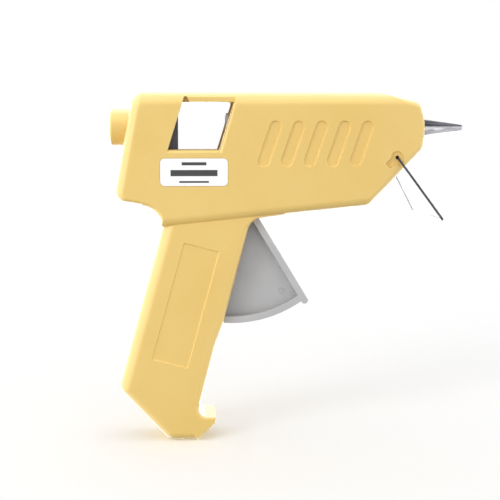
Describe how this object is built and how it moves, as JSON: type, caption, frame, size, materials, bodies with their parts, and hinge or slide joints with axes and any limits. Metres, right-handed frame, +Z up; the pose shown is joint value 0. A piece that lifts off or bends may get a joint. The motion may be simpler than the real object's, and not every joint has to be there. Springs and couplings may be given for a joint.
{
  "type": "glue gun",
  "caption": "Trigger-fed hot glue gun with a two-part moulded housing, viewing window, sector trigger, metal nozzle and fold-out wire stand.",
  "frame": {"origin": "on the surface under the handle's base, below the middle of the gun's overall box, in the parting plane", "axes": "+X along the glue axis towards the nozzle, +Y to the gun's left-hand side, +Z up"},
  "size_m": [0.177, 0.0662, 0.1724],
  "materials": {
    "yellow_plastic": "fine satin moulded",
    "label_paper": "smooth white",
    "nozzle_aluminium": "turned, bright",
    "cast_aluminium": "cast, dull",
    "silicone": "matte",
    "spring_steel": "satin",
    "pin_steel": "ground",
    "screw_steel": "zinc plated",
    "stand_wire": "drawn, nickel plated",
    "insulating_film": "glossy film",
    "electrode_brass": "satin",
    "heater_ceramic": "matte",
    "lead_sleeve": "braided sleeve",
    "white_nylon": "satin",
    "dark_plastic": "satin moulded",
    "grey_plastic": "satin moulded"
  },
  "bodies": {
    "housing": {"housing_right": "yellow_plastic", "housing_left": "yellow_plastic", "label": "label_paper", "stick_collar": "yellow_plastic", "nozzle": "nozzle_aluminium", "melt_chamber": "cast_aluminium", "feed_sleeve": "silicone", "sleeve_clip": "spring_steel", "heater_insulation": "insulating_film", "electrode_upper": "electrode_brass", "ptc_heater": "heater_ceramic", "electrode_lower": "electrode_brass", "heater_clip": "spring_steel", "return_spring": "spring_steel", "trigger_pin": "pin_steel", "lead_right": "lead_sleeve", "splice_cap_right": "white_nylon", "lead_left": "lead_sleeve", "splice_cap_left": "white_nylon", "cord_clamp": "white_nylon", "clamp_screw_1": "screw_steel", "clamp_screw_2": "screw_steel", "housing_screw_1": "screw_steel", "housing_screw_2": "screw_steel", "housing_screw_3": "screw_steel", "housing_screw_4": "screw_steel", "housing_screw_5": "screw_steel", "housing_screw_6": "screw_steel", "housing_screw_7": "screw_steel"},
    "carriage": {"carriage": "dark_plastic", "jaw_pin": "pin_steel"},
    "gripper": {"gripper_jaw": "spring_steel"},
    "trigger": {"trigger": "grey_plastic", "drive_pin": "pin_steel"},
    "stand": {"wire_stand": "stand_wire"}
  },
  "joints": [
    {"name": "trigger_pull", "type": "hinge", "parent": "housing", "child": "trigger", "pos_m": [-0.0282, 0, 0.1186], "axis": [0, 1, 0], "range_deg": [0, 36], "stiffness_Nm_per_rad": 0.35, "springref_deg": -28.65},
    {"name": "carriage_feed", "type": "slide", "parent": "housing", "child": "carriage", "axis": [1, 0, 0], "range_m": [0, 0.0118], "deforming": ["return_spring"]},
    {"name": "jaw_bite", "type": "hinge", "parent": "carriage", "child": "gripper", "pos_m": [-0.0619, 0, 0.1647], "axis": [0, 1, 0], "range_deg": [0, 8.05]},
    {"name": "stand_fold", "type": "hinge", "parent": "housing", "child": "stand", "pos_m": [0.0528, 0, 0.1405], "axis": [0, 1, 0], "range_deg": [0, 72]}
  ],
  "couplings": [
    {"joint": "carriage_feed", "follows": "trigger_pull", "m_per_rad": 0.018689},
    {"joint": "jaw_bite", "follows": "trigger_pull", "ratio": 0.22222}
  ]
}
